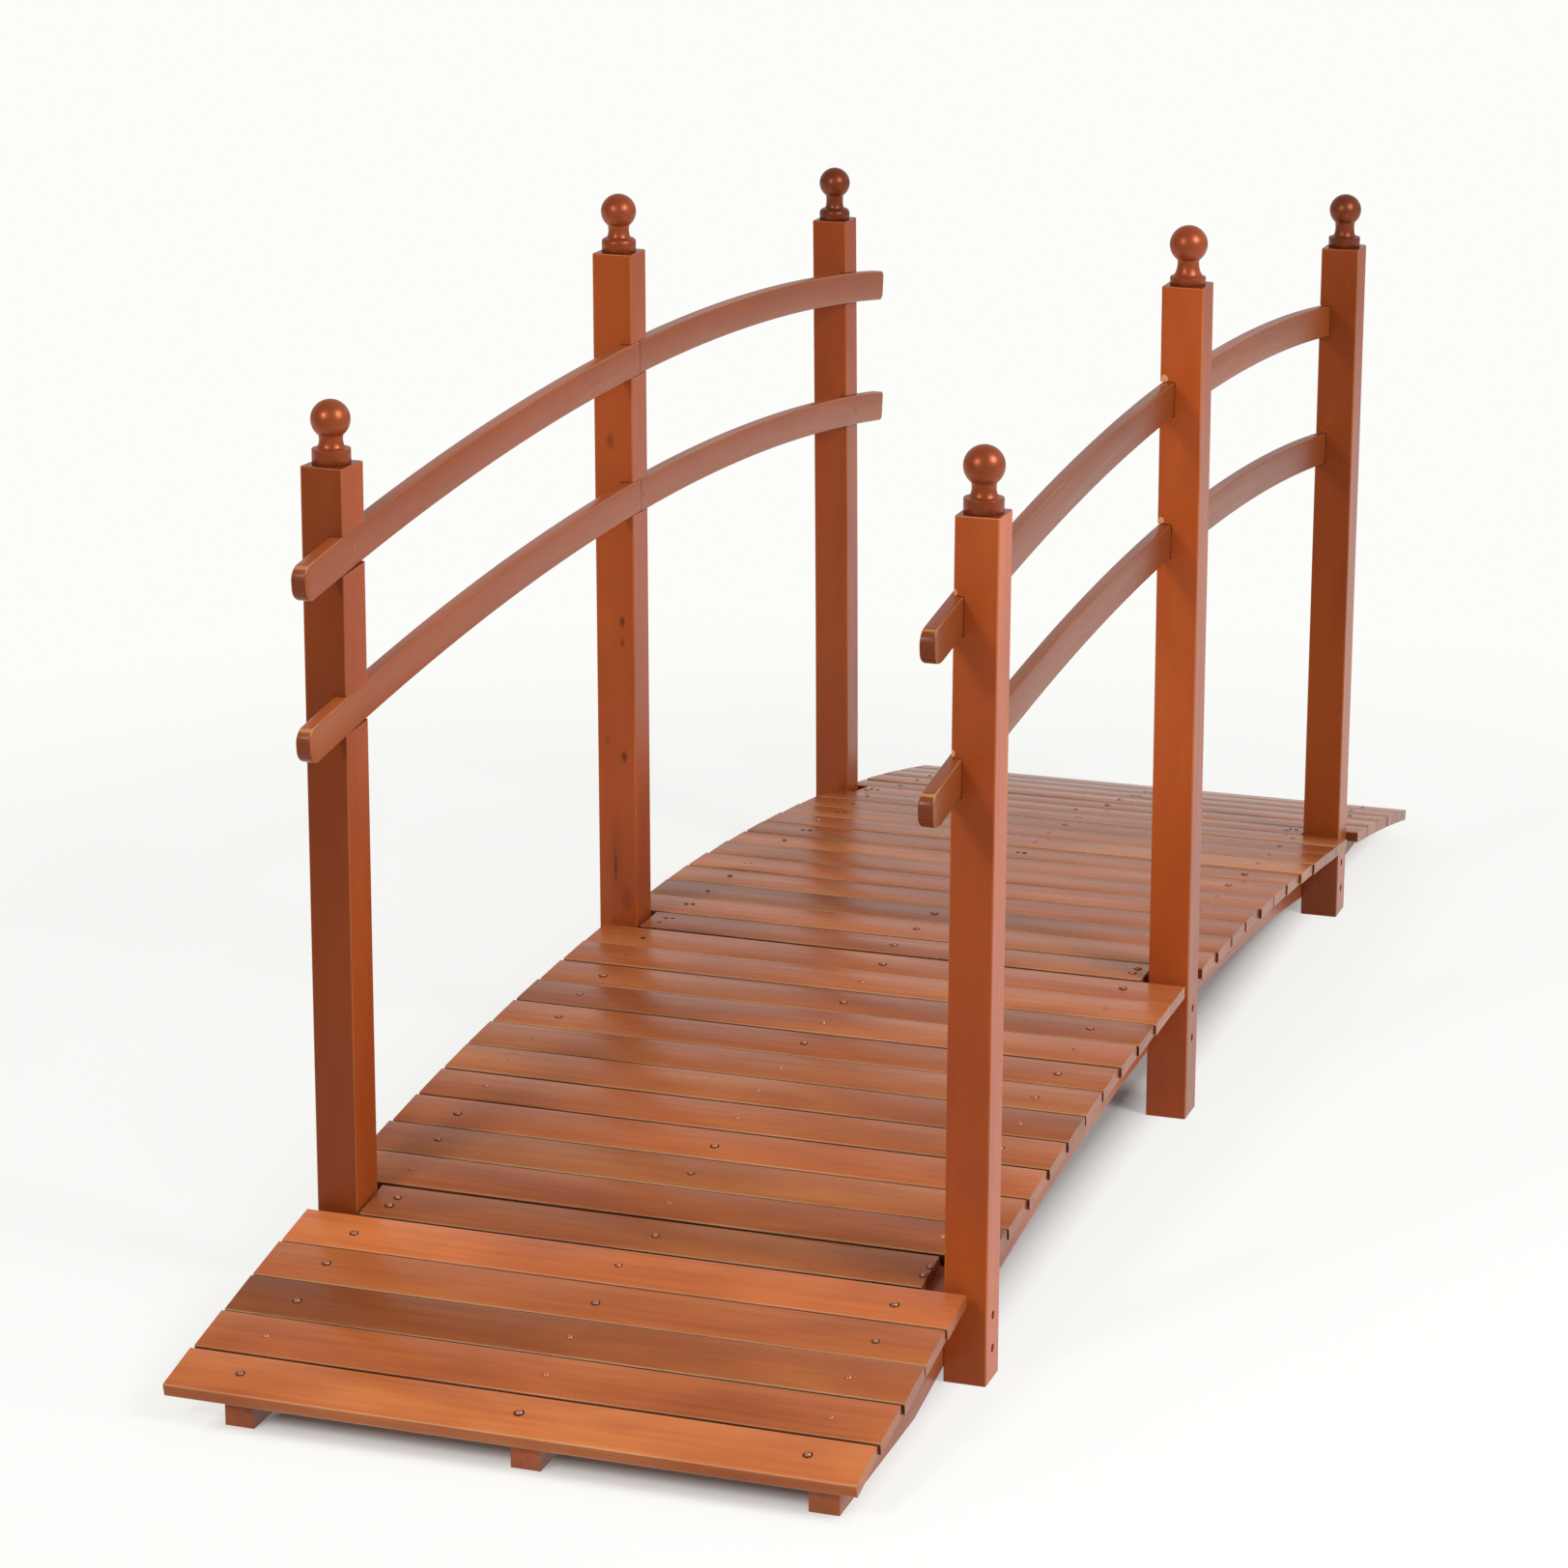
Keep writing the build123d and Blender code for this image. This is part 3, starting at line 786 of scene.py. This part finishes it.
# %% Bend the eight rail halves
rail_tree = make_rail_tree()
random.seed(3)
for (level, side, half), sizes in RAIL_HALVES.items():
    lift, tip_lift, top_reach, top_drop, bottom_reach, bottom_rise = [v * MM for v in sizes[:6]]
    rail = bake_shape(f"handrail_{level}_{side}_{half}", rail_tree, {
        "Radius": DECK_RADIUS + RAIL_RISE[level], "Middle end": (-0.7 if half == "near" else 0.7) * MM,
        "Tip end": rail_tip(level, side, half), "Side place": SIDES[side] * RAIL_PLACE,
        "Thickness": RAIL_THICKNESS, "Height": RAIL_HEIGHT, "Easing": 2 * MM, "Lift": lift,
        "Tip lift": tip_lift, "Top reach": top_reach, "Top drop": top_drop, "Bottom reach": bottom_reach,
        "Bottom rise": bottom_rise, "Shift": random.random(), "Wood": rail_wood})
    mark_faces(rail, 1, True)
    tip_y = rail_tip(level, side, half)
    # near the tip the eased edges get a stronger painted highlight
    for face, item in zip(rail.data.polygons, rail.data.attributes["edge_highlight"].data):
        item.value *= 2.2 if abs(face.center.y - tip_y) < TIP_HIGHLIGHT_LENGTH else 1.0
    set_tone_and_shade(rail, "POINT", lambda point: sizes[6])
    keep_piece(rail, "rail_wood", f"rail_{level}_{side}_{half}")

# %% Screws of the rails
JOINT_SCREW_Y = 12 * MM
END_POST_Y = 839.3 * MM
spots = []
for level, side, half in RAIL_HALVES:
    end, sign = (-1 if half == "near" else 1), SIDES[side]
    for y in (end * JOINT_SCREW_Y, end * END_POST_Y):
        radius = rail_radius(level, side, half, y)
        height = ARCH_CENTRE + math.sqrt(radius * radius - y * y)
        spots.append((Vector((sign * (RAIL_OUTER - RAIL_THICKNESS), y, height)), Vector((-sign, 0, 0))))
drive("rail_screws", spots, "rail_wood", Head_radius=3.4 * MM, Head_height=0.4 * MM, Ring=1.12, Seed=7,
      Metal=rail_wood, Bruise=beam_wood)

# %% [markdown]
# ## Posts
# A post is a square stick with eased corners. The rails lie in housings cut into its inner face, and
# the screws that hold it to the stringer sit in two wide holes low on the outer face. The stick is
# built ring by ring so that it can lean a little as the real ones do, and the cuts are made in it after.

# %% Post helpers
def ring_mesh(name, rings):
    """Joins rings of points into a closed tube, with a face over each end."""
    mesh = bpy.data.meshes.new(name)
    count = len(rings[0])
    points = [p for ring in rings for p in ring]
    faces = [tuple(reversed(range(count)))]
    for level in range(len(rings) - 1):
        base = level * count
        for i in range(count):
            j = (i + 1) % count
            faces.append((base + i, base + j, base + count + j, base + count + i))
    top = (len(rings) - 1) * count
    faces.append(tuple(range(top, top + count)))
    mesh.from_pydata(points, [], faces)
    mesh.update()
    return mesh


def square_ring(half, easing, z, steps=3):
    """The outline of a square stick with rounded corners, counterclockwise seen from above."""
    ring = []
    for corner in range(4):
        sx, sy = ((1, 1), (-1, 1), (-1, -1), (1, -1))[corner]
        for step in range(steps + 1):
            turn = math.radians(90 * corner + 90 * step / steps)
            ring.append(Vector((sx * (half - easing) + easing * math.cos(turn),
                                sy * (half - easing) + easing * math.sin(turn), z)))
    return ring


def cut_out(target, cutter):
    """Takes the cutter's shape out of the target, and removes the cutter."""
    modifier = target.modifiers.new("cut", "BOOLEAN")
    modifier.operation = "DIFFERENCE"
    modifier.solver = "EXACT"
    modifier.object = cutter
    evaluated = target.evaluated_get(bpy.context.evaluated_depsgraph_get())
    mesh = bpy.data.meshes.new_from_object(evaluated)
    target.modifiers.clear()
    target.data = mesh
    bpy.data.objects.remove(cutter)


# %% Cutters for the housings and the screw holes
HOLE_RADIUS = 4.8 * MM
HOLE_DEPTH = 8 * MM


def housing_cutter(level, side, half, y_from, y_to):
    """A block bent to the rail, a hair larger than the rail, that reaches in from the inner face."""
    play = 0.5 * MM
    sign = SIDES[side]
    inner = sign * (POST_INNER - 20 * MM)
    outer = sign * (RAIL_OUTER + play)
    rings = []
    for step in range(7):
        y = y_from + (y_to - y_from) * step / 6
        radius = rail_radius(level, side, half, y)
        angle = math.asin(y / radius)
        ring = []
        for x, up in ((inner, -1), (outer, -1), (outer, 1), (inner, 1)):
            reach = radius + up * (RAIL_HEIGHT / 2 + play)
            ring.append(Vector((x, reach * math.sin(angle), ARCH_CENTRE + reach * math.cos(angle))))
        rings.append(ring)
    cutter = add_object("housing_cutter", ring_mesh("housing_cutter", rings))
    fix_normals(cutter)
    return cutter


def hole_cutter(y, z, outer_face):
    """A short drill, sideways and half way in, for a screw hole on the post's outer face."""
    made = bmesh.new()
    turn = Matrix.Rotation(math.radians(90), 4, "Y")
    bmesh.ops.create_cone(
        made, cap_ends=True, segments=24, radius1=HOLE_RADIUS, radius2=HOLE_RADIUS, depth=2 * HOLE_DEPTH)
    bmesh.ops.transform(made, matrix=Matrix.Translation((outer_face, y, z)) @ turn, verts=made.verts)
    mesh = bpy.data.meshes.new("hole_cutter")
    made.to_mesh(mesh)
    made.free()
    return add_object("hole_cutter", mesh)


def fix_normals(piece):
    made = bmesh.new()
    made.from_mesh(piece.data)
    bmesh.ops.remove_doubles(made, verts=made.verts, dist=1e-6)
    bmesh.ops.recalc_face_normals(made, faces=made.faces)
    made.to_mesh(piece.data)
    made.free()


# %% How each post differs
# for each post: how far its top leans and its foot stands to the right, how much thicker than 46 mm it is
# on every side, all in millimetres, its turn in degrees, and the tone of its faces along and across; the
# tones differ from post to post, and the step between the front and back faces and the sides is painted
# light and shade
POSTS = {
    ("near", "left"): (3.5, -2.5, 1.2, -4.0, (-0.44, -0.06)),
    ("near", "right"): (2.5, 0.0, 0.2, 0.0, (-0.06, 0.20)),
    ("middle", "left"): (0.0, 0.0, 1.8, 0.0, (-0.10, 0.0)),
    ("middle", "right"): (-4.0, 0.0, 1.6, 0.0, (0.0, -0.12)),
    ("far", "left"): (-6.5, 0.0, 0.8, 0.0, (-0.26, -0.05)),
    ("far", "right"): (0.0, 1.5, 1.8, 0.0, (-0.42, -0.08))}
HOLE_HEIGHTS = {"near": (72 * MM, 35 * MM), "middle": (134 * MM, 97 * MM), "far": (72 * MM, 35 * MM)}
SCREW_DEPTH = 6.5 * MM
CUT_REACH = 45 * MM
CUT_OVERLAP = 0.2 * MM


def post_rings(low, high, extra, foot, lean, turn):
    """The square outlines of a post, from its foot to its eased top, leaning and turned as it really is."""
    centre = (low + high) / 2
    half = (high.x - low.x) / 2 + extra
    levels = [(low.z, 0.6 * MM), (low.z + 0.6 * MM, 0.0)] + [(high.z * k / 24, 0.0) for k in range(1, 24)]
    levels += [(high.z - 1.2 * MM, 0.0), (high.z - 0.35 * MM, 0.35 * MM), (high.z, 1.2 * MM)]
    turned = Matrix.Rotation(math.radians(turn), 4, "Z")
    rings = []
    for z, inset in levels:
        aside = centre.x + lean * (z / high.z) ** 1.5 + foot * (1 - z / high.z)
        moved = Vector((aside, centre.y, 0))
        rings.append([turned @ p + moved for p in square_ring(half - inset, 1.7 * MM, z)])
    return rings


# %% Build the six posts
post_tops = {}
foot_screws = []
for (station, side), (*shifts, turn, (along, across)) in POSTS.items():
    lean, foot, extra = [shift * MM for shift in shifts]
    sign = SIDES[side]
    node = f"post_{station}_{side}"
    low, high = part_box(node)
    middle_y = (low.y + high.y) / 2
    post = add_object(f"timber_{node}", ring_mesh(node, post_rings(low, high, extra, foot, lean, turn)))
    for level in RAIL_RISE:
        if station == "middle":
            cut_out(post, housing_cutter(level, side, "near", -CUT_REACH, CUT_OVERLAP))
            cut_out(post, housing_cutter(level, side, "far", -CUT_OVERLAP, CUT_REACH))
        else:
            y_from, y_to = middle_y - CUT_REACH, middle_y + CUT_REACH
            cut_out(post, housing_cutter(level, side, station, y_from, y_to))
    outer_face = (high.x if sign > 0 else low.x) + sign * extra + foot
    for z in HOLE_HEIGHTS[station]:
        cut_out(post, hole_cutter(middle_y, z, outer_face))
        head_x = outer_face - sign * SCREW_DEPTH
        foot_screws.append((Vector((head_x, middle_y, z)), Vector((sign, 0, 0))))
    post.data.materials.clear()
    post.data.materials.append(post_wood)
    set_shift(post, random.random())
    mark_faces(post, 2, False)
    # front and back faces get one tone and the sides another: painted light and shade
    set_tone_and_shade(post, "FACE", lambda face: along if abs(face.normal.y) > 0.7 else across)
    post_tops[station, side] = Vector(((low.x + high.x) / 2 + lean, middle_y, high.z))
    keep_piece(post, "post_wood", node)
# the dark ring round each screw head, at the bottom of its hole, is painted shade
drive("foot_screws", foot_screws, "post_wood", Head_radius=3.9 * MM, Head_height=0.8 * MM, Ring=1.12, Seed=9,
      Metal=dark_steel, Bruise=bruise_and_shade)

# %% [markdown]
# ## Turned balls
# Each post carries a ball turned on a lathe, with a round collar, a hollow neck and a ball. A lathe
# makes a shape by spinning an outline, and so does this: the outline is written from a few sizes, and
# each of the six gets its own sizes, because they were turned by hand.

# %% Turning
def turned_outline(collar_radius, collar_height, bead, foot_radius, waist_radius, waist_height,
                   ball_radius, total):
    """Half the outline of a finial as (radius, height) pairs, from its foot up to the top of the ball."""
    outline = [(0.0, 0.0), (collar_radius - 0.5 * MM, 0.0), (collar_radius, 0.5 * MM)]
    for step in range(7):
        turn = math.radians(15 * step)
        outline.append((collar_radius - bead + bead * math.cos(turn),
                        collar_height - bead + bead * math.sin(turn)))
    for step in range(13):
        turn = math.radians(7.5 * step)
        outline.append((waist_radius + (foot_radius - waist_radius) * (1 - math.sin(turn)),
                        collar_height + (waist_height - collar_height) * (1 - math.cos(turn))))
    centre = total - ball_radius
    neck = waist_radius + 0.7 * MM
    meet = centre - math.sqrt(ball_radius ** 2 - neck ** 2)
    outline.append((waist_radius + 0.15 * MM, (waist_height + meet) / 2))
    low = math.asin((meet - centre) / ball_radius)
    for step in range(29):
        turn = low + (math.radians(90) - low) * step / 28
        outline.append((max(ball_radius * math.cos(turn), 0.0), centre + ball_radius * math.sin(turn)))
    return outline


def turn_on_lathe(name, outline, place, segments=56):
    """Spins an outline about an upright line through place, and closes it at both ends."""
    made = bmesh.new()
    foot = made.verts.new(place)
    tip = made.verts.new(place + Vector((0, 0, outline[-1][1])))
    rings = []
    for radius, height in outline[1:-1]:
        rings.append([made.verts.new(place + Vector((radius * math.cos(2 * math.pi * k / segments),
                                                     radius * math.sin(2 * math.pi * k / segments), height)))
                      for k in range(segments)])
    for k in range(segments):
        j = (k + 1) % segments
        made.faces.new((foot, rings[0][j], rings[0][k]))
        for lower, upper in zip(rings, rings[1:]):
            made.faces.new((lower[k], lower[j], upper[j], upper[k]))
        made.faces.new((rings[-1][k], rings[-1][j], tip))
    for face in made.faces:
        face.smooth = True
    bmesh.ops.recalc_face_normals(made, faces=made.faces)
    mesh = bpy.data.meshes.new(name)
    made.to_mesh(mesh)
    made.free()
    return add_object(name, mesh)


# %% Turn the six finials
# the same eight sizes for each, in millimetres
FINIALS = {
    ("near", "left"): (20.5, 16.0, 0.8, 17.0, 12.5, 25.5, 20.9, 67.4),
    ("near", "right"): (20.5, 15.0, 0.8, 17.0, 12.4, 25.0, 21.1, 68.0),
    ("middle", "left"): (20.5, 16.5, 5.0, 15.5, 12.4, 26.0, 21.0, 69.0),
    ("middle", "right"): (20.5, 9.0, 0.8, 20.0, 12.3, 25.0, 21.8, 67.9),
    ("far", "left"): (20.5, 15.0, 6.5, 14.0, 11.3, 25.5, 20.7, 70.2),
    ("far", "right"): (20.5, 13.3, 0.8, 17.0, 12.3, 25.0, 20.6, 69.3)}
FINIAL_TONES = {"near": 0.06, "middle": 0.06, "far": -0.30}
for (station, side), sizes in FINIALS.items():
    node = f"finial_{station}_{side}"
    outline = turned_outline(*[s * MM for s in sizes])
    ball = turn_on_lathe(f"turned_{node}", outline, post_tops[station, side])
    ball.data.materials.append(finial_wood)
    set_shift(ball, random.random())
    collar_top = post_tops[station, side].z + (sizes[1] + 3) * MM
    tone = FINIAL_TONES[station]
    set_tone_and_shade(ball, "POINT", lambda point: tone - (0.12 if point.co.z < collar_top else 0.0))
    keep_piece(ball, "finial_wood", node)

# %% [markdown]
# ## Stringers
# The three curved beams under the deck show only at their ends and below the arch. Their solids are
# already the right shape, so they stay and only get their wood.

# %% Dress the stringers
for place in ("left", "middle", "right"):
    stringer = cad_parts[f"stringer_{place}"]
    stringer.data.materials.clear()
    stringer.data.materials.append(beam_wood)
